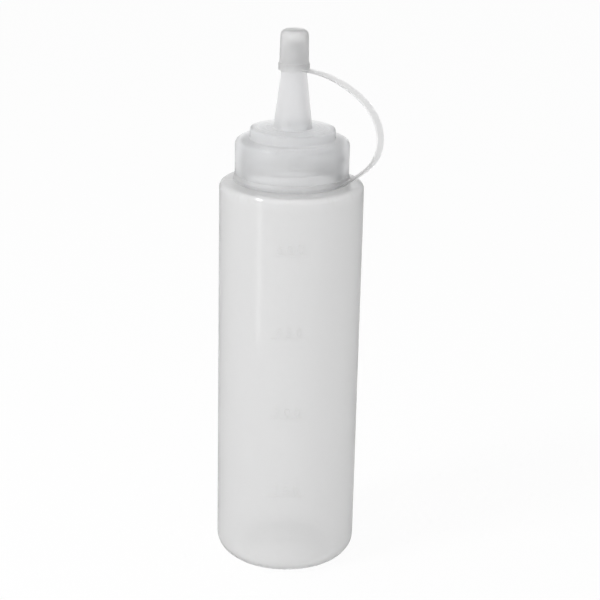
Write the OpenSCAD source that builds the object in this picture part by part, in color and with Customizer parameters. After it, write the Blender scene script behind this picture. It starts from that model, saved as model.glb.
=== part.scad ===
// Squeeze sauce bottle with a screw-on nozzle cap and a tethered tip cap.
// Millimetres, +Z up. The origin is the centre of the circle that the bottle rests on.
// The level marks face -Y.

/* [Bottle] */
// Outside diameter of the body
body_d = 70; // [60:1:80]
// Height of the shoulder's flat above the table
shoulder_z = 194.8; // [150:0.2:240]
// Wall of the blow-moulded body
body_wall = 1; // [0.8:0.1:1.6]
// Round at the foot of the body, outside
base_round = 8.6; // [6:0.2:9]
// Round at the edge of the shoulder, outside
shoulder_round = 3; // [2:0.2:5]
// Diameter of the hollow under the base
hollow_d = 48; // [40:1:50]
// Height of the hollow under the base
hollow_h = 2.4; // [1:0.2:3]
// Length of the pinch-off ridge across the base
pinch_l = 34; // [24:1:38]
// Width of the pinch-off ridge
pinch_w = 1; // [0.6:0.1:1.6]
// How far the pinch-off ridge stands out of the base
pinch_h = 0.7; // [0.4:0.1:1]

/* [Neck] */
// Diameter of the neck's wall, without its thread
neck_d = 48.8; // [44:0.2:51]
// Height of the neck's rim above the shoulder
neck_h = 19.6; // [18:0.2:26]
// Wall of the neck
neck_wall = 1.6; // [1.2:0.1:2.2]
// Round where the neck meets the shoulder
neck_round = 0.8; // [0.4:0.1:1.2]
// Width of the bevel around the rim's mouth
rim_bevel = 0.4; // [0.2:0.1:0.6]

/* [Thread] */
// Rise of one turn
thread_pitch = 4.2; // [3.6:0.1:5]
// Turns of each ridge, without its faded ends
thread_turns = 1.1; // [0.8:0.1:1.3]
// How far the ridges stand out of their walls
thread_depth = 1; // [0.6:0.1:1.2]
// Width of a ridge where it leaves its wall
thread_foot = 1.9; // [1.4:0.1:1.9]
// Width of a ridge's crest
thread_crest = 0.8; // [0.4:0.1:1.2]
// Height of the neck thread's start above the shoulder
thread_start = 8; // [7:0.2:9]

/* [Nozzle cap] */
// Wall of the skirt
skirt_wall = 1.85; // [1.6:0.05:2.4]
// Thickness of the step that closes on the rim
step_t = 1.5; // [1.2:0.1:2.4]
// Round at the edge of that step, outside
step_round = 3.2; // [2:0.2:3.4]
// Diameter of the raised disc under the nozzle
disc_d = 41; // [36:0.5:42]
// Height of the raised disc above the step
disc_h = 5; // [3:0.2:7]
// Wall of the raised disc
disc_wall = 1.5; // [1.2:0.1:2]
// Round at the edge of the disc, outside
disc_round = 0.9; // [0.4:0.1:1.2]
// How far the seal that plugs the neck hangs down
plug_h = 2.6; // [1.6:0.2:4]
// Thickness of that seal
plug_t = 1.2; // [0.8:0.1:1.4]

/* [Nozzle] */
// Height of the nozzle above the disc
nozzle_h = 41; // [32:0.5:48]
// Outside diameter of the nozzle at the disc
nozzle_base_d = 18.6; // [16:0.2:20]
// Outside diameter of the nozzle at its tip
nozzle_tip_d = 8.8; // [8:0.2:9.6]
// Wall of the nozzle
nozzle_wall = 2.2; // [0.8:0.1:2.4]
// Diameter of the hole in the tip
tip_hole_d = 3.6; // [2:0.2:4]
// Thickness of the wall that this hole goes through
tip_wall = 1.6; // [1:0.1:2.4]
// Round where the nozzle meets the disc
nozzle_round = 0.9; // [0.4:0.1:1.4]

/* [Tip cap] */
// Height of the tip cap
tip_cap_h = 19.2; // [18:0.2:22]
// How far the nozzle goes into the tip cap
tip_cap_depth = 13.2; // [10:0.2:14]
// Diameter of the tip cap above its rim
tip_cap_d = 14.1; // [13.6:0.1:15]
// Diameter of the tip cap at its top, before the round
tip_cap_top_d = 13.2; // [12:0.1:13.4]
// Round of the closed end, outside
tip_cap_round = 2.8; // [1.6:0.1:3.2]
// Wall of the tip cap
tip_cap_wall = 1; // [0.8:0.1:1.2]
// Height of the thicker rim
tip_rim_h = 3.5; // [2:0.1:5]
// How far the rim stands out of the tip cap
tip_rim_out = 0.35; // [0.2:0.05:0.8]

/* [Tether] */
// Height of the ring around the foot of the skirt
ring_h = 3; // [2.6:0.1:4]
// How far the foot of the ring stands out of the skirt
ring_flare = 0.8; // [0.5:0.1:1.2]
// Depth of the groove that the ring turns in
groove_depth = 0.8; // [0.6:0.05:0.9]
// Height of the lip under the ring
lip_h = 0.5; // [0.4:0.05:0.8]
// How far that lip reaches under the ring
lip_hold = 0.2; // [0.1:0.05:0.3]
// Width of the strap
strap_w = 4.8; // [3:0.1:6]
// Thickness of the strap
strap_t = 1.1; // [0.8:0.1:1.3]
// Direction of the strap around the bottle, from +X
strap_turn = -37; // [-180:1:180]
// How far the bow of the strap stands out from the bottle's axis
strap_reach = 51; // [46:0.5:56]
// Height of the strap's outermost point above the foot of the ring
strap_belly = 26; // [22:0.5:30]
// Slope at which the strap leaves the ring, above level
foot_slope = 35; // [10:1:50]
// How strongly the strap keeps that slope
foot_pull = 13; // [8:0.5:16]
// How strongly the bow stays upright below its outermost point
low_pull = 12; // [8:0.5:16]
// How strongly the bow stays upright above its outermost point
high_pull = 18; // [12:0.5:22]
// How strongly the strap stays level where it meets the tip cap
head_pull = 16.5; // [10:0.5:22]
// Length of the stubs that the strap grows out of
stub_l = 1; // [0.8:0.1:2]

/* [Level marks] */
// Length of a mark around the body
mark_l = 18; // [10:1:24]
// Width of a mark
mark_w = 0.7; // [0.4:0.1:1.2]
// How far a mark stands out of the body
mark_out = 0.25; // [0.15:0.05:0.4]
// Filling between two marks, in millilitres
mark_step = 150; // [100:10:200]

/* [Clearances] */
// Between the rim and the cap's step
seat_gap = 0.1; // [0.05:0.05:0.3]
// Between the shoulder and the foot of the skirt
foot_gap = 0.4; // [0.3:0.1:1]
// Between a ridge's crest and the wall that it faces
crest_gap = 0.3; // [0.2:0.05:0.4]
// Between the plug seal and the neck's bore
plug_gap = 0.2; // [0.1:0.05:0.4]
// Between the ring and its groove, all round
ring_gap = 0.15; // [0.1:0.05:0.25]
// Between the nozzle and the mouth of the tip cap
tip_gap = 0.12; // [0.08:0.02:0.3]

/* [Hidden] */
$fn = 96;
past = 1;          // how far a cutting shape runs past what it cuts
thread_step = 10;  // degrees between two rings of a thread's ridge
thread_fade = 40;  // degrees in which a ridge dies into its wall
sink = 0.25;       // how deep a ridge or mark is rooted in its wall
base_loss = 4.6;   // millilitres that the foot's round and the base's hollow take away
bow_steps = 24;    // straight steps in each half of the strap's bow
ml = 1000;         // cubic millimetres in a millilitre
pinch_lift = 0.3;  // least height of the pinch-off ridge above the table
clear_plastic = [0.92, 0.93, 0.93, 0.8];
cap_plastic = [0.90, 0.91, 0.93, 0.85];

// Bottle
body_r = body_d / 2;
neck_r = neck_d / 2;
bore_r = neck_r - neck_wall;
rim_z = shoulder_z + neck_h;
hollow_r = (pow(hollow_d / 2, 2) + pow(hollow_h, 2)) / (2 * hollow_h);

// Cap
skirt_in_r = neck_r + thread_depth + crest_gap;
skirt_r = skirt_in_r + skirt_wall;
skirt_z = shoulder_z + foot_gap;
ceiling_z = rim_z + seat_gap;
step_z = ceiling_z + step_t;
disc_z = step_z + disc_h;
nozzle_z = disc_z + nozzle_h;
nozzle_base_r = nozzle_base_d / 2;
nozzle_tip_r = nozzle_tip_d / 2;
nozzle_slope = (nozzle_base_r - nozzle_tip_r) / nozzle_h;
plug_r = bore_r - plug_gap;

// Ring and its groove
groove_r = skirt_r - groove_depth;
ring_in_r = groove_r + ring_gap;
ring_r = skirt_r + ring_flare;
ring_z = skirt_z + lip_h + ring_gap;
ring_top = ring_z + ring_h;
lip_r = ring_in_r + lip_hold;
ring_foot_h = strap_t + 0.3;

// Tip cap
mouth_z = nozzle_z - tip_cap_depth;
mouth_r = nozzle_tip_r + nozzle_slope * tip_cap_depth + tip_gap;
tip_cap_z = mouth_z + tip_cap_h;
tip_rim_r = tip_cap_d / 2 + tip_rim_out;

// Strap: its two ends, at the middle of its thickness
foot_end = [ring_r + stub_l, ring_z + strap_t / 2 + stub_l * tan(foot_slope)];
head_end = [tip_rim_r + stub_l, mouth_z + strap_t / 2];
belly = [strap_reach - strap_t / 2, ring_z + strap_belly];

// Level marks: as many as the straight wall below the shoulder holds
bore_area = PI * pow(body_r - body_wall, 2);
straight_top = shoulder_z - shoulder_round;
mark_count = floor(((straight_top - body_wall) * bore_area / ml - base_loss) / mark_step);
function fill_z(amount) = body_wall + (amount + base_loss) * ml / bore_area;

// What a round of radius r takes off a solid's corner at the origin, the solid lying at -X and -Y
module corner_waste(r) {
  difference() {
    translate([-r, -r]) square(r + past);
    translate([-r, -r]) circle(r);
  }
}

// What a round of radius r adds in a solid's inner corner at the origin, the open side lying at +X and +Y
module corner_fill(r) {
  difference() {
    translate([-sink, -sink]) square(r + sink);
    translate([r, r]) circle(r);
  }
}

// One ridge of thread on a wall of radius wall_r. side is 1 on an outside wall and -1 inside one.
// It climbs from z, and its two ends die into the wall.
module thread_ridge(wall_r, side, z) {
  sweep = thread_turns * 360 + 2 * thread_fade;
  rings = ceil(sweep / thread_step);
  root_r = wall_r - side * sink;
  function rise(a) = min(1, a / thread_fade, (sweep - a) / thread_fade);
  function crest_r(a) = wall_r + side * (thread_depth * rise(a) - 0.1 * (1 - rise(a)));
  function ring(a, zz) = [
    for (p = [[root_r, -thread_foot / 2], [crest_r(a), -thread_crest / 2],
              [crest_r(a), thread_crest / 2], [root_r, thread_foot / 2]])
      [p.x * cos(a), p.x * sin(a), zz + p.y]
  ];
  points = [for (i = [0:rings]) let (a = i * sweep / rings) each ring(a, z + thread_pitch * a / 360)];
  walls = [
    for (i = [0:rings - 1], k = [0:3])
      let (a = 4 * i + k, b = 4 * i + (k + 1) % 4)
        each [[a, b, b + 4], [a, b + 4, a + 4]]
  ];
  last = 4 * rings;
  ends = [[2, 1, 0], [3, 2, 0], [last, last + 1, last + 2], [last, last + 2, last + 3]];
  faces = concat(walls, ends);
  polyhedron(points, side > 0 ? faces : [for (f = faces) [f[2], f[1], f[0]]]);
}

// A raised mark around the front of the body, with its upper edge at z
module level_mark(z) {
  turn = mark_l / body_r * 180 / PI;
  rotate([0, 0, -90 - turn / 2]) rotate_extrude(angle = turn)
    translate([body_r - sink, z - mark_w]) square([sink + mark_out, mark_w]);
}

module bottle_outline() {
  difference() {
    union() {
      square([body_r, shoulder_z]);
      square([neck_r, rim_z]);
      translate([neck_r, shoulder_z]) corner_fill(neck_round);
    }
    translate([body_r, shoulder_z]) corner_waste(shoulder_round);
    translate([body_r, 0]) mirror([0, 1]) corner_waste(base_round);
    translate([0, hollow_h - hollow_r]) circle(hollow_r);
  }
}

module bottle_cavity() {
  in_r = body_r - body_wall;
  difference() {
    union() {
      translate([0, body_wall]) square([in_r, shoulder_z - 2 * body_wall]);
      translate([0, body_wall]) square([bore_r, rim_z]);
      translate([0, rim_z]) polygon([[0, -rim_bevel], [bore_r, -rim_bevel],
                                     [bore_r + rim_bevel + past, past], [0, past]]);
    }
    translate([in_r, shoulder_z - body_wall]) corner_waste(shoulder_round - body_wall);
    translate([in_r, body_wall]) mirror([0, 1]) corner_waste(base_round - body_wall);
    translate([0, hollow_h - hollow_r]) circle(hollow_r + body_wall);
  }
}

// The ridge that the mould's pinch leaves across the base: it follows the hollow's dome
module pinch_ridge() {
  difference() {
    translate([-pinch_l / 2, -pinch_w / 2, pinch_lift])
      cube([pinch_l, pinch_w, hollow_h + sink - pinch_lift]);
    translate([0, 0, hollow_h - hollow_r]) sphere(hollow_r - pinch_h);
  }
}

module bottle() {
  color(clear_plastic) {
    rotate_extrude() difference() {
      bottle_outline();
      bottle_cavity();
    }
    thread_ridge(neck_r, 1, shoulder_z + thread_start);
    for (i = [1:mark_count]) level_mark(fill_z(i * mark_step));
    pinch_ridge();
  }
}

module nozzle_cap_outline() {
  disc_r = disc_d / 2;
  difference() {
    union() {
      translate([0, skirt_z]) square([skirt_r, step_z - skirt_z]);
      translate([0, skirt_z]) square([disc_r, disc_z - skirt_z]);
      polygon([[0, disc_z - past], [nozzle_base_r, disc_z - past], [nozzle_base_r, disc_z],
               [nozzle_tip_r, nozzle_z], [0, nozzle_z]]);
      translate([nozzle_base_r, disc_z]) corner_fill(nozzle_round);
    }
    translate([skirt_r, step_z]) corner_waste(step_round);
    translate([disc_r, disc_z]) corner_waste(disc_round);
    translate([groove_r, skirt_z + lip_h]) square([groove_depth + past, ring_h + 2 * ring_gap]);
    translate([lip_r, skirt_z - past]) square([skirt_r, lip_h + 2 * past]);
  }
}

module nozzle_cap_cavity() {
  bore_base_r = nozzle_base_r - nozzle_wall;
  bore_top_r = nozzle_tip_r + nozzle_slope * tip_wall - nozzle_wall;
  difference() {
    union() {
      translate([0, skirt_z - past]) square([skirt_in_r, ceiling_z - skirt_z + past]);
      translate([0, skirt_z]) square([disc_d / 2 - disc_wall, disc_z - disc_wall - skirt_z]);
      polygon([[0, disc_z - disc_wall - past], [bore_base_r, disc_z - disc_wall - past],
               [bore_base_r, disc_z], [bore_top_r, nozzle_z - tip_wall], [0, nozzle_z - tip_wall]]);
      translate([0, disc_z]) square([tip_hole_d / 2, nozzle_h + past]);
    }
    translate([plug_r - plug_t, ceiling_z - plug_h]) square([plug_t, plug_h + past]);
  }
}

module nozzle_cap() {
  color(cap_plastic) {
    rotate_extrude() difference() {
      nozzle_cap_outline();
      nozzle_cap_cavity();
    }
    thread_ridge(skirt_in_r, -1, shoulder_z + thread_start - thread_pitch / 2);
  }
}

// Turns an outline of radius and height into a strip as wide as the strap, in the strap's own plane
module in_strap_plane() {
  rotate([0, 0, strap_turn]) rotate([90, 0, 0]) linear_extrude(strap_w, center = true) children();
}

function slope_normal(slope) = [sin(slope), -cos(slope)];

// The stub that the strap grows out of: its outer end lies square to the strap
module strap_stub(wall_r, end, slope) {
  low = end + slope_normal(slope) * strap_t / 2;
  high = end - slope_normal(slope) * strap_t / 2;
  in_strap_plane()
    polygon([[wall_r - sink, end.y - strap_t / 2 - stub_l * tan(slope)],
             [wall_r, end.y - strap_t / 2 - stub_l * tan(slope)], low, high,
             [wall_r - 2 * sink, high.y]]);
}

module tether_ring() {
  bend_h = ring_h - ring_foot_h;
  bend_r = (pow(bend_h, 2) + pow(ring_flare, 2)) / (2 * ring_flare);
  color(cap_plastic) {
    rotate_extrude() difference() {
      translate([ring_in_r, ring_z]) square([ring_r - ring_in_r, ring_h]);
      translate([skirt_r + bend_r, ring_top]) circle(bend_r);
    }
    strap_stub(ring_r, foot_end, foot_slope);
  }
}

// A cubic curve through two ends and its direction there, t running from 0 to 1
function curve(a, b, c, d, t) =
  pow(1 - t, 3) * a + 3 * pow(1 - t, 2) * t * b + 3 * (1 - t) * t * t * c + pow(t, 3) * d;
function heading(a, b, c, d, t) =
  let (v = pow(1 - t, 2) * (b - a) + 2 * (1 - t) * t * (c - b) + t * t * (d - c)) v / norm(v);

// The bow's two halves, from the foot to the belly and from there to the head
LOW = [foot_end, foot_end + foot_pull * [cos(foot_slope), sin(foot_slope)],
       belly - [0, low_pull], belly];
HIGH = [belly, belly + [0, high_pull], head_end + [head_pull, 0], head_end];

// One side of the strap, at the distance off outwards from its middle line
function side(off) = [
  for (half = [LOW, HIGH], i = [(half == LOW ? 0 : 1):bow_steps])
    let (t = i / bow_steps,
         p = curve(half[0], half[1], half[2], half[3], t),
         v = heading(half[0], half[1], half[2], half[3], t))
      p + off * [v.y, -v.x]
];

module tether_strap() {
  inner = side(-strap_t / 2);
  color(cap_plastic) in_strap_plane()
    polygon(concat(side(strap_t / 2), [for (i = [len(inner) - 1:-1:0]) inner[i]]));
}

module tip_cap() {
  top_r = tip_cap_top_d / 2;
  roof_z = tip_cap_z - tip_cap_wall;
  color(cap_plastic) {
    rotate_extrude() difference() {
      union() {
        translate([0, mouth_z]) square([tip_rim_r, tip_rim_h]);
        difference() {
          polygon([[0, mouth_z], [tip_cap_d / 2, mouth_z], [top_r, tip_cap_z - tip_cap_round],
                   [top_r, tip_cap_z], [0, tip_cap_z]]);
          translate([top_r, tip_cap_z]) corner_waste(tip_cap_round);
        }
      }
      polygon([[0, mouth_z - past], [mouth_r, mouth_z - past], [mouth_r, mouth_z],
               [top_r - tip_cap_wall, roof_z - tip_cap_round / 2],
               [top_r - tip_cap_wall - tip_cap_round / 2, roof_z], [0, roof_z]]);
    }
    strap_stub(tip_rim_r, head_end, 0);
  }
}

bottle();
nozzle_cap();
tether_ring();
tether_strap();
tip_cap();
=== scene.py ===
# Squeeze sauce bottle with a nozzle cap and a tethered tip cap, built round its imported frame.
# Metres, +Z up.
from math import atan2, cos, degrees, pi, radians, sin

import bmesh
import bpy
from mathutils import Matrix, Vector
from mathutils.geometry import interpolate_bezier


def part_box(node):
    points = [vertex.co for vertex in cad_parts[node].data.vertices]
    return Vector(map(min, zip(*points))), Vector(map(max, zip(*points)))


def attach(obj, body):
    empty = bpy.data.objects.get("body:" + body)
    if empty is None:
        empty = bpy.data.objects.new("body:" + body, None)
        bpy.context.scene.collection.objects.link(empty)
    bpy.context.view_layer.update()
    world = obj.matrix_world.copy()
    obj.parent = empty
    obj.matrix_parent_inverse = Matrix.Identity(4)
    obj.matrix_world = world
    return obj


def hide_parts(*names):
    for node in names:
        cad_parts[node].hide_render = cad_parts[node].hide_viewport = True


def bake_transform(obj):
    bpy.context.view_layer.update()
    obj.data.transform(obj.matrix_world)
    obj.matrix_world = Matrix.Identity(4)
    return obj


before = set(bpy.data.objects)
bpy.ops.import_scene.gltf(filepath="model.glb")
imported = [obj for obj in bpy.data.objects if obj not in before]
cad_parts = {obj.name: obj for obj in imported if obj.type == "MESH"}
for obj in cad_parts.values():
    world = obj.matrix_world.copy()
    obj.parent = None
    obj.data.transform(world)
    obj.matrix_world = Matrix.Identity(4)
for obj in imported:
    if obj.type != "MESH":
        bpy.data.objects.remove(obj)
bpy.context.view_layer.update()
mm = 0.001
tiny = 0.001 * mm  # points nearer than this are one point
print("frame loaded:", sorted(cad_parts))

# Camera
cameraView = {
    "distance": 0.73608,  # from the bottle's axis, towards -Y
    "height": 0.38113,
    "pan": 0.409,         # degrees to the right
    "pitch": 18.547,      # degrees down
    "roll": 1.278,        # degrees
    "lens": 94.07,        # mm
    "sensor": 36,         # mm
}


def makeCamera():
    data = bpy.data.cameras.new("studioCamera")
    data.lens = cameraView["lens"]
    data.sensor_width = cameraView["sensor"]
    camera = bpy.data.objects.new("studioCamera", data)
    bpy.context.scene.collection.objects.link(camera)
    turn = (Matrix.Rotation(radians(-cameraView["pan"]), 4, "Z")
            @ Matrix.Rotation(radians(90 - cameraView["pitch"]), 4, "X")
            @ Matrix.Rotation(radians(cameraView["roll"]), 4, "Z"))
    camera.matrix_world = Matrix.Translation((0, -cameraView["distance"], cameraView["height"])) @ turn
    bpy.context.scene.camera = camera


makeCamera()
print("camera ready")

# Plastics: milky low-density polyethylene, moulded in three ways. Heights and depths are in mm.
# Painted shade: by height the base colour darkens to a painted shade colour, starting at the first of the
# painted shade heights and full at the second.
# Each of wornHeights is the middle and the reach of a band that rubs.
bottlePlastic = {
    "light": (0.985, 0.985, 0.985), "dark": (0.975, 0.976, 0.978), "scuffed": (0.93, 0.93, 0.925),
    # painted shade: the body is darkened from just under the shoulder downwards, so the shoulder looks
    # lighter
    "deep": (0.945, 0.945, 0.945), "deepHeights": (193.0, 187.0),
    "roughness": (0.29, 0.35), "scuffedRoughness": 0.5,
    "transmission": 0.85, "ior": 1.05, "haze": 72.0, "coat": 0.5, "coatRoughness": 0.12,
    "cloudScale": 34, "grainScale": 1500, "grainDepth": 0.004,
    "flowScale": 70, "flowStretch": 0.06, "flowDepth": 0.03,
    "scuffScale": 420, "scuffStretch": 0.35, "scuffShare": 0.60,
    "wornHeights": ((0.0, 9.0), (192.5, 4.5)),
}
capPlastic = {
    "light": (0.982, 0.985, 0.99), "dark": (0.974, 0.978, 0.985), "scuffed": (0.93, 0.93, 0.935),
    # painted shade: the nozzle is darkened from its foot upwards
    "deep": (0.92, 0.92, 0.925), "deepHeights": (221.2, 225.0),
    "roughness": (0.29, 0.35), "scuffedRoughness": 0.5,
    "transmission": 0.86, "ior": 1.05, "haze": 22.0, "coat": 0.3, "coatRoughness": 0.18,
    "cloudScale": 55, "grainScale": 1900, "grainDepth": 0.003,
    "flowScale": 90, "flowStretch": 0.3, "flowDepth": 0.01,
    "scuffScale": 520, "scuffStretch": 0.5, "scuffShare": 0.62,
    "wornHeights": ((215.2, 2.6), (220.6, 1.6)),
}
tetherPlastic = {
    "light": (0.985, 0.985, 0.985), "dark": (0.975, 0.976, 0.978), "scuffed": (0.93, 0.93, 0.93),
    # painted shade: the strap and the tip cap are darkened, everything above the ring
    "deep": (0.96, 0.96, 0.96), "deepHeights": (199.1, 204.0),
    "roughness": (0.29, 0.35), "scuffedRoughness": 0.5,
    "transmission": 0.85, "ior": 1.08, "haze": 95.0, "coat": 0.12, "coatRoughness": 0.3,
    "cloudScale": 80, "grainScale": 2300, "grainDepth": 0.003,
    "flowScale": 160, "flowStretch": 0.5, "flowDepth": 0.01,
    "scuffScale": 600, "scuffStretch": 0.6, "scuffShare": 0.62,
    "wornHeights": ((196.5, 1.2), (250.0, 1.8), (266.6, 1.8)),
}
anyPlastic = {
    "softDetail": 3, "fineDetail": 2,  # layers of noise: in clouds and scuffs, and in flow and grain
    "tintSpread": (0.35, 0.65), "roughSpread": (0.3, 0.7),  # noise levels between which each one changes
    "scuffSpread": (-0.08, 0.04), "scuffDepth": 0.01,  # the spread is added to scuffShare
    "deepShade": 0.99,  # brightness of the clouds in the painted shade, as a share of its colour
}


def addNoise(tree, coords, scale, detail, stretch=1.0):
    place = tree.nodes.new("ShaderNodeMapping")
    place.inputs["Scale"].default_value = (1, 1, stretch)
    tree.links.new(coords, place.inputs["Vector"])
    cloud = tree.nodes.new("ShaderNodeTexNoise")
    cloud.inputs["Scale"].default_value = scale
    cloud.inputs["Detail"].default_value = detail
    tree.links.new(place.outputs["Vector"], cloud.inputs["Vector"])
    return cloud.outputs["Fac"]


def addRange(tree, value, fromLow, fromHigh, toLow, toHigh):
    step = tree.nodes.new("ShaderNodeMapRange")
    step.interpolation_type = "SMOOTHSTEP"
    step.inputs["From Min"].default_value = fromLow
    step.inputs["From Max"].default_value = fromHigh
    step.inputs["To Min"].default_value = toLow
    step.inputs["To Max"].default_value = toHigh
    tree.links.new(value, step.inputs["Value"])
    return step.outputs["Result"]


def addMath(tree, operation, first, second):
    step = tree.nodes.new("ShaderNodeMath")
    step.operation = operation
    for socket, value in zip(step.inputs, (first, second)):
        if isinstance(value, (int, float)):
            socket.default_value = value
        else:
            tree.links.new(value, socket)
    return step.outputs[0]


def addColourMix(tree, share, first, second):
    mix = tree.nodes.new("ShaderNodeMix")
    mix.data_type = "RGBA"
    tree.links.new(share, mix.inputs["Factor"])
    for socket, colour in ((mix.inputs["A"], first), (mix.inputs["B"], second)):
        if isinstance(colour, tuple):
            socket.default_value = (*colour, 1)
        else:
            tree.links.new(colour, socket)
    return mix.outputs["Result"]


def addBump(tree, height, depth, below=None):
    bump = tree.nodes.new("ShaderNodeBump")
    bump.inputs["Strength"].default_value = 1
    bump.inputs["Distance"].default_value = depth * mm
    tree.links.new(height, bump.inputs["Height"])
    if below is not None:
        tree.links.new(below, bump.inputs["Normal"])
    return bump.outputs["Normal"]


def addScuffs(tree, coords, height, values):
    # short scratches, and only near the edges that rub
    worn = None
    for middle, reach in values["wornHeights"]:
        away = addMath(tree, "ABSOLUTE", addMath(tree, "SUBTRACT", height, middle * mm), 0)
        near = addRange(tree, away, 0, reach * mm, 1, 0)
        worn = near if worn is None else addMath(tree, "MAXIMUM", worn, near)
    scratches = addNoise(tree, coords, values["scuffScale"], anyPlastic["softDetail"], values["scuffStretch"])
    least, most = (values["scuffShare"] + part for part in anyPlastic["scuffSpread"])
    return addMath(tree, "MULTIPLY", worn, addRange(tree, scratches, least, most, 0, 1))


def addColour(tree, height, cloud, scuffs, values):
    clouded = addRange(tree, cloud, *anyPlastic["tintSpread"], 0, 1)
    colour = addColourMix(tree, clouded, values["light"], values["dark"])
    # painted shade: the colour darkens by height between the two painted shade heights, its clouds a little
    # darker still
    start, full = (level * mm for level in values["deepHeights"])
    if start < full:
        deep = addRange(tree, height, start, full, 0, 1)
    else:
        deep = addRange(tree, height, full, start, 1, 0)
    shaded = tuple(part * anyPlastic["deepShade"] for part in values["deep"])
    colour = addColourMix(tree, deep, colour, addColourMix(tree, cloud, values["deep"], shaded))
    return addColourMix(tree, scuffs, colour, values["scuffed"])


def makePlastic(name, values):
    material = bpy.data.materials.new(name)
    material.use_nodes = True
    tree = material.node_tree
    shader = tree.nodes["Principled BSDF"]
    coords = tree.nodes.new("ShaderNodeTexCoord").outputs["Object"]
    split = tree.nodes.new("ShaderNodeSeparateXYZ")
    tree.links.new(coords, split.inputs["Vector"])
    height = split.outputs["Z"]
    scuffs = addScuffs(tree, coords, height, values)
    cloud = addNoise(tree, coords, values["cloudScale"], anyPlastic["softDetail"])
    tree.links.new(addColour(tree, height, cloud, scuffs, values), shader.inputs["Base Color"])
    smooth = addRange(tree, cloud, *anyPlastic["roughSpread"], *values["roughness"])
    scratched = addMath(tree, "MULTIPLY", scuffs, values["scuffedRoughness"])
    tree.links.new(addMath(tree, "MAXIMUM", smooth, scratched), shader.inputs["Roughness"])
    ripples = addNoise(tree, coords, values["flowScale"], anyPlastic["fineDetail"], values["flowStretch"])
    flow = addBump(tree, ripples, values["flowDepth"])
    grit = addNoise(tree, coords, values["grainScale"], anyPlastic["fineDetail"])
    grain = addBump(tree, grit, values["grainDepth"], flow)
    tree.links.new(addBump(tree, scuffs, anyPlastic["scuffDepth"], grain), shader.inputs["Normal"])
    shader.inputs["IOR"].default_value = values["ior"]
    shader.inputs["Transmission Weight"].default_value = values["transmission"]
    shader.inputs["Coat Weight"].default_value = values["coat"]
    shader.inputs["Coat Roughness"].default_value = values["coatRoughness"]
    haze = tree.nodes.new("ShaderNodeVolumeAbsorption")  # a longer way through the wall looks darker
    haze.inputs["Color"].default_value = (0, 0, 0, 1)
    haze.inputs["Density"].default_value = values["haze"]
    tree.links.new(haze.outputs["Volume"], tree.nodes["Material Output"].inputs["Volume"])
    return material


bottleSkin = makePlastic("bottlePlastic", bottlePlastic)
capSkin = makePlastic("capPlastic", capPlastic)
tetherSkin = makePlastic("tetherPlastic", tetherPlastic)
for nodeName, skin in (("bottle", bottleSkin), ("nozzle_cap", capSkin), ("tether_ring", tetherSkin),
                       ("tether_strap", tetherSkin), ("tip_cap", tetherSkin)):
    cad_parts[nodeName].material_slots[0].material = skin
print("plastics mixed")

# Moulded shells, in mm and degrees: an outline is turned about the axis.
# Each corner of it is a radius, a height and, where it is rounded, the size of its round.
shells = {"roundSteps": 5, "turnSteps": 128, "axisReach": 0.01, "sharpAngle": 32}


def roundCorner(bm, point, size, steps):
    bmesh.ops.bevel(bm, geom=[point], offset=size * mm, offset_type="OFFSET", segments=steps,
                    profile=0.5, affect="VERTICES", material=-1)


def outlineFace(corners):
    bm = bmesh.new()
    points = [bm.verts.new((corner[0] * mm, 0, corner[1] * mm)) for corner in corners]
    bm.faces.new(points)
    for point, corner in zip(points, corners):
        if len(corner) > 2:
            roundCorner(bm, point, corner[2], shells["roundSteps"])
    return bm


def turnOutline(bm):
    bmesh.ops.delete(bm, geom=bm.faces[:], context="FACES_ONLY")
    reach = shells["axisReach"] * mm
    onAxis = [edge for edge in bm.edges if max(abs(vert.co.x) for vert in edge.verts) < reach]
    bmesh.ops.delete(bm, geom=onAxis, context="EDGES")
    bmesh.ops.spin(bm, geom=bm.verts[:] + bm.edges[:], cent=(0, 0, 0), axis=(0, 0, 1), angle=2 * pi,
                   steps=shells["turnSteps"], use_merge=True)
    bmesh.ops.remove_doubles(bm, verts=bm.verts, dist=tiny)
    bmesh.ops.recalc_face_normals(bm, faces=bm.faces)


def finishPiece(name, bm, body, skin, replaced=()):
    mesh = bpy.data.meshes.new(name)
    bm.to_mesh(mesh)
    bm.free()
    piece = bpy.data.objects.new(name, mesh)
    bpy.context.scene.collection.objects.link(piece)
    mesh.materials.append(skin)
    mesh.shade_smooth()
    mesh.set_sharp_from_angle(angle=radians(shells["sharpAngle"]))
    piece.modifiers.new("evenShading", "WEIGHTED_NORMAL").keep_sharp = True
    if body:
        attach(piece, body)
    if replaced:
        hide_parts(*replaced)
    return piece


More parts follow.
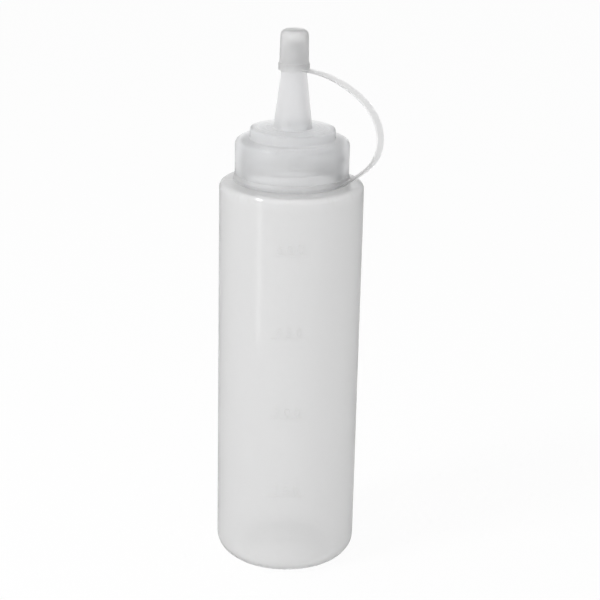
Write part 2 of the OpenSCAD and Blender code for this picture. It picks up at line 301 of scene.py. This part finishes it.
# Nozzle cap, in mm and degrees
nozzleCap = {
    "skirtWall": 1.85, "grooveDepth": 0.8, "grooveHeight": 3.3, "lipHeight": 0.5, "lipReach": 0.45,
    "stepBelowTop": 46.0, "stepThick": 1.5, "stepRound": 3.2,
    "discRadius": 20.5, "discHeight": 5.0, "discWall": 1.5, "discRound": 0.9, "discFootRound": 0.7,
    "discRings": (17.6, 15.2, 12.8), "ringFoot": 0.4, "ringCrest": 0.2, "ringHeight": 0.13,
    "ringRounds": (0.1, 0.08),
    "plugRadius": 22.6, "plugThick": 1.2, "plugDrop": 2.6, "plugRound": 0.3, "plugLeadRound": 0.5,
    "nozzleFoot": 9.3, "nozzleTip": 4.4, "nozzleWall": 2.2, "nozzleFootRound": 0.5, "nozzleTipRound": 0.4,
    "tipHole": 1.8, "tipWall": 1.6, "holeRounds": (0.25, 0.2), "boreFootRound": 0.3,
    "edgeRound": 0.2, "grooveRound": 0.1, "cavityRound": 0.8, "discInnerRound": 0.5, "ceilingRound": 0.6,
    "threadDepth": 1.0, "threadFoot": 0.95, "threadCrest": 0.4, "threadPitch": 4.2, "threadTurn": 476,
    "threadFade": 40, "threadStart": 5.3, "threadRows": 0.2,
}


def ringOnDisc(radius, level):
    v = nozzleCap
    foot, crest = v["ringRounds"]
    return [
        (radius + v["ringFoot"], level, foot), (radius + v["ringCrest"], level + v["ringHeight"], crest),
        (radius - v["ringCrest"], level + v["ringHeight"], crest), (radius - v["ringFoot"], level, foot),
    ]


def capOutside(foot, top, step, skirt):
    v = nozzleCap
    groove = skirt - v["grooveDepth"]
    grooveLow = foot + v["lipHeight"]
    grooveHigh = grooveLow + v["grooveHeight"]
    lip = skirt - v["lipReach"]
    disc = step + v["discHeight"]
    corners = [
        (skirt - v["skirtWall"], foot, v["edgeRound"]), (lip, foot, v["edgeRound"]),
        (lip, grooveLow, v["grooveRound"]), (groove, grooveLow, v["grooveRound"]),
        (groove, grooveHigh, v["grooveRound"]), (skirt, grooveHigh, v["edgeRound"]),
        (skirt, step, v["stepRound"]), (v["discRadius"], step, v["discFootRound"]),
        (v["discRadius"], disc, v["discRound"]),
    ]
    for radius in v["discRings"]:
        corners += ringOnDisc(radius, disc)
    corners.append((v["nozzleFoot"], disc, v["nozzleFootRound"]))
    corners.append((v["nozzleTip"], top, v["nozzleTipRound"]))
    return corners


def capInside(top, step, wall):
    v = nozzleCap
    disc = step + v["discHeight"]
    roof = disc - v["discWall"]
    ceiling = step - v["stepThick"]
    tip = top - v["tipWall"]
    slope = (v["nozzleFoot"] - v["nozzleTip"]) / (top - disc)
    boreTop = v["nozzleTip"] + slope * v["tipWall"] - v["nozzleWall"]
    boreFoot = v["nozzleFoot"] - v["nozzleWall"]
    chamber = v["discRadius"] - v["discWall"]
    plugInner = v["plugRadius"] - v["plugThick"]
    plugFoot = ceiling - v["plugDrop"]
    holeTop, holeFoot = v["holeRounds"]
    return [
        (v["tipHole"], top, holeTop), (v["tipHole"], tip, holeFoot), (boreTop, tip, v["cavityRound"]),
        (boreFoot, disc, v["boreFootRound"]), (boreFoot, roof, v["cavityRound"]),
        (chamber, roof, v["cavityRound"]), (chamber, ceiling, v["discInnerRound"]),
        (plugInner, ceiling, v["plugRound"]), (plugInner, plugFoot, v["plugRound"]),
        (v["plugRadius"], plugFoot, v["plugLeadRound"]), (v["plugRadius"], ceiling, v["plugRound"]),
        (wall, ceiling, v["ceilingRound"]),
    ]


def splitInnerWall(bm, wall):
    # rows of points up the skirt's inner wall, for the thread
    upright = [edge for edge in bm.edges if all(abs(vert.co.x - wall * mm) < tiny for vert in edge.verts)]
    longest = max(upright, key=lambda edge: edge.calc_length())
    rows = int(longest.calc_length() / (nozzleCap["threadRows"] * mm))
    bmesh.ops.subdivide_edges(bm, edges=[longest], cuts=rows)


def pressInnerThread(bm, wall, start):
    # a ridge of trapezoid section that climbs inside the skirt and dies into its wall at both ends
    v = nozzleCap
    for vert in bm.verts:
        if abs(vert.co.xy.length - wall * mm) > tiny:
            continue
        around = degrees(atan2(vert.co.y, vert.co.x)) % 360
        for turned in (around, around + 360):
            away = abs(vert.co.z / mm - start - v["threadPitch"] * turned / 360)
            if turned <= v["threadTurn"] and away < v["threadFoot"]:
                rise = min(1, turned / v["threadFade"], (v["threadTurn"] - turned) / v["threadFade"])
                share = min(1, (v["threadFoot"] - away) / (v["threadFoot"] - v["threadCrest"]))
                inward = 1 - v["threadDepth"] * rise * share / wall
                vert.co.x, vert.co.y = vert.co.x * inward, vert.co.y * inward
                break


def makeNozzleCap():
    low, high = (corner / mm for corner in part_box("nozzle_cap"))
    innerWall = high.x - nozzleCap["skirtWall"]
    step = high.z - nozzleCap["stepBelowTop"]
    bm = outlineFace(capOutside(low.z, high.z, step, high.x) + capInside(high.z, step, innerWall))
    splitInnerWall(bm, innerWall)
    turnOutline(bm)
    pressInnerThread(bm, innerWall, low.z + nozzleCap["threadStart"])
    finishPiece("nozzleCap", bm, "nozzle_cap", capSkin, ["nozzle_cap"])


makeNozzleCap()
print("nozzle cap turned")

# Tether, in mm and degrees: the ring in its groove, the cap over the tip and the strap between them
tether = {
    "ringInner": 26.9, "skirtRadius": 27.55, "flareHeight": 1.4, "flareHigh": 1.0,
    "ringFootRound": 0.15, "flareFootRound": 0.3, "flareTopRound": 0.2,
    "hollowRound": 0.95, "ringTopRound": 0.12,
    "tipMouth": 6.098, "tipRimRadius": 7.4, "tipRimHeight": 3.5, "tipFoot": 7.05, "tipTop": 6.6,
    "tipWall": 1.0, "tipRound": 2.8, "tipInnerRound": 0.5, "tipMouthRound": 0.25,
    "rimRounds": (0.3, 0.22, 0.2),
    "turn": -37, "width": 4.8, "thick": 1.1, "corner": 0.32, "cornerSteps": 3, "sideCuts": 3,
    "stub": 1.0, "reach": 51.0, "bellyHeight": 26.0, "footSlope": 35,
    "footPull": 13.0, "lowPull": 12.0, "highPull": 18.0, "headPull": 16.5,
    "rootSunk": 0.5, "rootLift": 0.68, "rootPulls": (0.7, 0.6), "headSunk": 1.5, "headPulls": (0.4, 1.0),
    "arcSteps": (5, 56, 64, 4),
    "ringRoot": 2.2, "tipRoot": 1.4, "rootLength": 4.0,  # extra width at the two ends, and how far it reaches
    "stillFoot": 0.6, "stillHead": 0.9,  # heights at the two ends that don't stretch
}


def makeRing():
    v = tether
    low, high = (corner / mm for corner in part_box("tether_ring"))
    outer = -low.x
    corners = [
        (v["ringInner"], low.z, v["ringFootRound"]), (outer, low.z, v["flareFootRound"]),
        (outer, low.z + v["flareHeight"], v["flareTopRound"]),
        (v["skirtRadius"], high.z - v["flareHigh"], v["hollowRound"]),
        (v["skirtRadius"], high.z, v["ringTopRound"]), (v["ringInner"], high.z, v["ringTopRound"]),
    ]
    bm = outlineFace(corners)
    turnOutline(bm)
    finishPiece("tetherRing", bm, "tether", tetherSkin, ["tether_ring"])


def makeTipCap():
    v = tether
    low, high = (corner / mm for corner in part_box("tip_cap"))
    foot, top = low.z, high.z
    roof = top - v["tipWall"]
    inner = v["tipTop"] - v["tipWall"]
    rim = foot + v["tipRimHeight"]
    lean = (v["tipFoot"] - v["tipTop"]) / (top - v["tipRound"] - foot)
    rimFoot, rimTop, rimInner = v["rimRounds"]
    corners = [
        (0, roof), (inner - v["tipRound"] / 2, roof, v["tipInnerRound"]),
        (inner, roof - v["tipRound"] / 2, v["tipInnerRound"]), (v["tipMouth"], foot, v["tipMouthRound"]),
        (v["tipRimRadius"], foot, rimFoot), (v["tipRimRadius"], rim, rimTop),
        (v["tipFoot"] - lean * v["tipRimHeight"], rim, rimInner),
        (v["tipTop"], top, v["tipRound"]), (0, top),
    ]
    bm = outlineFace(corners)
    turnOutline(bm)
    finishPiece("tipCap", bm, "tip_cap", tetherSkin, ["tip_cap"])


def strapPath():
    # radius and height in the strap's own upright plane, from inside the ring to inside the tip cap
    v = tether
    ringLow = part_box("tether_ring")[0] / mm
    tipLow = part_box("tip_cap")[0] / mm
    away = Vector((cos(radians(v["footSlope"])), sin(radians(v["footSlope"]))))
    foot = Vector((-ringLow.x + v["stub"], ringLow.z + v["thick"] / 2 + v["stub"] * away.y / away.x))
    head = Vector((v["tipRimRadius"] + v["stub"], tipLow.z + v["thick"] / 2))
    belly = Vector((v["reach"] - v["thick"] / 2, ringLow.z + v["bellyHeight"]))
    root = Vector((-ringLow.x - v["rootSunk"], ringLow.z + v["rootLift"]))
    end = head - Vector((v["headSunk"], 0))
    rootLeave, rootArrive = v["rootPulls"]
    headLeave, headArrive = v["headPulls"]
    arcs = [
        (root, root + Vector((rootLeave, 0)), foot - away * rootArrive, foot),
        (foot, foot + away * v["footPull"], belly - Vector((0, v["lowPull"])), belly),
        (belly, belly + Vector((0, v["highPull"])), head + Vector((v["headPull"], 0)), head),
        (head, head - Vector((headLeave, 0)), head - Vector((headArrive, 0)), end),
    ]
    points = [root]
    for arc, steps in zip(arcs, v["arcSteps"]):
        points += interpolate_bezier(*arc, steps)[1:]
    return points


def strapSection(bm, halfWidth, halfThick):
    # the strap's cross-section, lying flat about the origin
    v = tether
    sides = ((-1, -1), (1, -1), (1, 1), (-1, 1))
    corners = [bm.verts.new((x * halfWidth, y * halfThick, 0)) for x, y in sides]
    bm.faces.new(corners)
    for corner in corners:
        roundCorner(bm, corner, v["corner"], v["cornerSteps"])
    long = [edge for edge in bm.edges if edge.calc_length() > halfWidth]
    bmesh.ops.subdivide_edges(bm, edges=long, cuts=v["sideCuts"])
    return bm.faces[:]


def makeStrap():
    v = tether
    path = strapPath()
    run = [0]
    for before, after in zip(path, path[1:]):
        run.append(run[-1] + (after - before).length)
    bm = bmesh.new()
    section = strapSection(bm, v["width"] / 2 * mm, v["thick"] / 2 * mm)
    startFace = section[0]
    turn = Matrix.Rotation(radians(v["turn"]), 4, "Z")
    placed = Matrix.Identity(4)
    for index, point in enumerate(path):
        before, after = path[max(index - 1, 0)], path[min(index + 1, len(path) - 1)]
        along = (after - before).normalized()
        nearRing = max(0, 1 - run[index] / v["rootLength"])
        nearTip = max(0, 1 - (run[-1] - run[index]) / v["rootLength"])
        widen = 1 + (v["ringRoot"] * nearRing ** 2 + v["tipRoot"] * nearTip ** 2) / v["width"]
        upright = Matrix(((0, along.y, along.x, point.x * mm), (-1, 0, 0, 0),
                          (0, -along.x, along.y, point.y * mm), (0, 0, 0, 1)))
        target = turn @ upright @ Matrix.Diagonal((widen, 1, 1, 1))
        if index:
            grown = bmesh.ops.extrude_face_region(bm, geom=section)["geom"]
            if section[0] is not startFace:
                bmesh.ops.delete(bm, geom=section, context="FACES")
            section = [item for item in grown if isinstance(item, bmesh.types.BMFace)]
        verts = list({vert for face in section for vert in face.verts})
        bmesh.ops.transform(bm, matrix=target @ placed.inverted(), verts=verts)
        placed = target
    bmesh.ops.recalc_face_normals(bm, faces=bm.faces)
    strap = finishPiece("tetherStrap", bm, None, tetherSkin, ["tether_strap"])
    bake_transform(strap)


makeRing()
makeTipCap()
makeStrap()
print("tether made")

# Bottle, in mm: the amounts beside the level marks, and the seams that the two halves of the mould leave
bottleDetail = {
    "amounts": (("150", 43.57), ("300", 84.87), ("450", 126.18), ("600", 167.48)),  # in ml, mark's height
    "figureSize": 6.6, "figureSpacing": 1.5, "figureDepth": 0.22, "figureGap": 0.8, "figureLift": 0.04,
    "figureBevel": 0.06, "bevelSteps": 2, "curveSteps": 6, "figureMerge": 0.005,
    "longEdge": 1.2, "longCuts": 2,  # edges that are cut, so that they bend round the wall
    "seamWidth": 0.35, "seamHeight": 0.09, "seamSunk": 0.1, "seamSteps": 16,
    "seamFoot": 28.0, "seamHead": 25.6,  # radius at which a seam ends, under the base and on the shoulder
    "seamReach": 15.0, "seamClosing": 21.0,  # how far in its outline goes, and the radius it is cut at
    "baseRound": 8.6, "shoulder": 194.8, "shoulderRound": 3.0,
}


def figureMesh(words, level):
    v = bottleDetail
    text = bpy.data.curves.new("amount" + words, "FONT")
    text.body = words
    text.size = v["figureSize"] * mm
    text.space_character = v["figureSpacing"]
    text.align_x = "CENTER"
    text.extrude = v["figureDepth"] / 2 * mm
    text.bevel_depth = v["figureBevel"] * mm
    text.bevel_resolution = v["bevelSteps"]
    text.resolution_u = v["curveSteps"]
    holder = bpy.data.objects.new("amountHolder", text)
    bpy.context.scene.collection.objects.link(holder)
    bpy.context.view_layer.update()
    shaped = holder.evaluated_get(bpy.context.evaluated_depsgraph_get())
    mesh = bpy.data.meshes.new_from_object(shaped)
    bpy.data.objects.remove(holder)
    lift = Matrix.Translation((0, 0, (level + v["figureGap"]) * mm))
    mesh.transform(lift @ Matrix.Rotation(radians(90), 4, "X"))
    return mesh


def makeFigures():
    v = bottleDetail
    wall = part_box("bottle")[1].x
    bm = bmesh.new()
    for words, level in v["amounts"]:
        mesh = figureMesh(words, level)
        bm.from_mesh(mesh)
        bpy.data.meshes.remove(mesh)
    bmesh.ops.remove_doubles(bm, verts=bm.verts, dist=v["figureMerge"] * mm)
    long = [edge for edge in bm.edges if abs(edge.verts[0].co.x - edge.verts[1].co.x) > v["longEdge"] * mm]
    bmesh.ops.subdivide_edges(bm, edges=long, cuts=v["longCuts"])
    bmesh.ops.triangulate(bm, faces=bm.faces)
    for vert in bm.verts:  # the flat figures bend round the wall
        out = wall + v["figureLift"] * mm - vert.co.y
        around = vert.co.x / wall
        vert.co.x, vert.co.y = out * sin(around), -out * cos(around)
    bmesh.ops.recalc_face_normals(bm, faces=bm.faces)
    finishPiece("amountFigures", bm, "bottle", bottleSkin)


def seamBand(bm):
    # a flat band along the base's round, the body and the shoulder, just outside them
    v = bottleDetail
    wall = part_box("bottle")[1].x / mm + v["seamHeight"]
    inside = wall - v["seamReach"]
    base, shoulder = -v["seamHeight"], v["shoulder"] + v["seamHeight"]
    corners = [(inside, base, 0), (wall, base, v["baseRound"] + v["seamHeight"]),
               (wall, shoulder, v["shoulderRound"] + v["seamHeight"]), (inside, shoulder, 0)]
    points = [bm.verts.new((x * mm, -v["seamWidth"] / 2 * mm, z * mm)) for x, z, soften in corners]
    bm.faces.new(points)
    for point, (x, z, soften) in zip(points, corners):
        if soften:
            roundCorner(bm, point, soften, v["seamSteps"])
    core = bm.faces[:]
    bmesh.ops.inset_region(bm, faces=core, thickness=(v["seamHeight"] + v["seamSunk"]) * mm,
                           use_even_offset=True, use_boundary=True)
    bmesh.ops.delete(bm, geom=core, context="FACES")
    hidden = [face for face in bm.faces if face.calc_center_median().x < v["seamClosing"] * mm]
    bmesh.ops.delete(bm, geom=hidden, context="FACES")


def cutSeamEnd(bm, radius, atFoot):
    middle = bottleDetail["shoulder"] / 2 * mm
    near = [face for face in bm.faces if (face.calc_center_median().z < middle) == atFoot]
    parts = {item for face in near for item in (face, *face.edges, *face.verts)}
    bmesh.ops.bisect_plane(bm, geom=list(parts), dist=tiny, plane_co=(radius * mm, 0, 0),
                           plane_no=(-1, 0, 0), clear_outer=True)


def makeSeams():
    v = bottleDetail
    bm = bmesh.new()
    seamBand(bm)
    cutSeamEnd(bm, v["seamFoot"], True)
    cutSeamEnd(bm, v["seamHead"], False)
    band = bmesh.ops.extrude_face_region(bm, geom=bm.faces[:])["geom"]
    moved = [item for item in band if isinstance(item, bmesh.types.BMVert)]
    bmesh.ops.translate(bm, vec=(0, v["seamWidth"] * mm, 0), verts=moved)
    other = bmesh.ops.duplicate(bm, geom=bm.verts[:] + bm.edges[:] + bm.faces[:])["geom"]
    turned = [item for item in other if isinstance(item, bmesh.types.BMVert)]
    bmesh.ops.rotate(bm, cent=(0, 0, 0), matrix=Matrix.Rotation(pi, 3, "Z"), verts=turned)
    bmesh.ops.recalc_face_normals(bm, faces=bm.faces)
    finishPiece("mouldSeams", bm, "bottle", bottleSkin)


makeFigures()
makeSeams()
print("bottle dressed")

# Studio, in metres and watts
studio = {
    "ambientDark": 0.29, "ambientLight": 0.74, "ambientFrom": (-1, -0.1, 0.2),
    "floorSize": 8.0, "floorWhite": 0.95, "floorColour": (0.9, 0.9, 0.9, 1), "floorRoughness": 0.9,
    "lamps": {
        "key": {"power": 12.0, "size": (0.3, 0.3), "place": (-0.95, -0.6, 1.1), "aim": 0.12},
        "strip": {"power": 0.14, "size": (0.05, 0.5), "place": (-0.27, -0.24, 0.25), "aim": 0.25},
    },
    "bounces": 32, "diffuseBounces": 16, "glossyBounces": 12, "transmissionBounces": 28,
}


def seenDirectly(tree):
    # 1 on rays from the camera, off a gloss or through plastic, and 0 on the rays that light the scene
    path = tree.nodes.new("ShaderNodeLightPath")
    first = addMath(tree, "MAXIMUM", path.outputs["Is Camera Ray"], path.outputs["Is Glossy Ray"])
    return addMath(tree, "MAXIMUM", first, path.outputs["Is Transmission Ray"])


def makeWorld():
    world = bpy.data.worlds.new("studioWorld")
    world.use_nodes = True
    tree = world.node_tree
    ambient = tree.nodes["Background"]
    ambient.inputs["Color"].default_value = (1, 1, 1, 1)
    facing = tree.nodes.new("ShaderNodeVectorMath")  # soft daylight from the left, less from the right
    facing.operation = "DOT_PRODUCT"
    facing.inputs[1].default_value = Vector(studio["ambientFrom"]).normalized()
    tree.links.new(tree.nodes.new("ShaderNodeTexCoord").outputs["Generated"], facing.inputs[0])
    dim, bright = studio["ambientDark"], studio["ambientLight"]
    tree.links.new(addRange(tree, facing.outputs["Value"], -1, 1, dim, bright), ambient.inputs["Strength"])
    white = tree.nodes.new("ShaderNodeBackground")
    white.inputs["Color"].default_value = (1, 1, 1, 1)
    white.inputs["Strength"].default_value = 1
    mix = tree.nodes.new("ShaderNodeMixShader")
    tree.links.new(seenDirectly(tree), mix.inputs["Fac"])
    tree.links.new(ambient.outputs[0], mix.inputs[1])
    tree.links.new(white.outputs[0], mix.inputs[2])
    tree.links.new(mix.outputs[0], tree.nodes["World Output"].inputs["Surface"])
    bpy.context.scene.world = world


def makeFloor():
    bm = bmesh.new()
    bmesh.ops.create_grid(bm, x_segments=1, y_segments=1, size=studio["floorSize"] / 2)
    mesh = bpy.data.meshes.new("floor")
    bm.to_mesh(mesh)
    bm.free()
    floor = bpy.data.objects.new("floor", mesh)
    bpy.context.scene.collection.objects.link(floor)
    material = bpy.data.materials.new("floorPaper")
    material.use_nodes = True
    tree = material.node_tree
    shader = tree.nodes["Principled BSDF"]
    shader.inputs["Base Color"].default_value = studio["floorColour"]
    shader.inputs["Roughness"].default_value = studio["floorRoughness"]
    glow = tree.nodes.new("ShaderNodeEmission")
    mix = tree.nodes.new("ShaderNodeMixShader")
    white = addMath(tree, "MULTIPLY", seenDirectly(tree), studio["floorWhite"])
    tree.links.new(white, mix.inputs["Fac"])
    tree.links.new(shader.outputs[0], mix.inputs[1])
    tree.links.new(glow.outputs[0], mix.inputs[2])
    tree.links.new(mix.outputs[0], tree.nodes["Material Output"].inputs["Surface"])
    mesh.materials.append(material)


def makeLamp(name, values):
    data = bpy.data.lights.new(name, "AREA")
    data.energy = values["power"]
    data.shape = "RECTANGLE"
    data.size, data.size_y = values["size"]
    lamp = bpy.data.objects.new(name, data)
    bpy.context.scene.collection.objects.link(lamp)
    lamp.location = values["place"]
    towards = Vector((0, 0, values["aim"])) - lamp.location  # a height on the bottle's axis
    lamp.rotation_euler = towards.to_track_quat("-Z", "Y").to_euler()


def setLightPaths():
    # light crosses many milky walls on its way through the cap and the neck
    paths = bpy.context.scene.cycles
    paths.max_bounces = studio["bounces"]
    paths.diffuse_bounces = studio["diffuseBounces"]
    paths.glossy_bounces = studio["glossyBounces"]
    paths.transmission_bounces = studio["transmissionBounces"]


makeWorld()
makeFloor()
for lampName, lampValues in studio["lamps"].items():
    makeLamp(lampName, lampValues)
setLightPaths()
bpy.context.scene.view_settings.view_transform = "Standard"
print("studio ready")
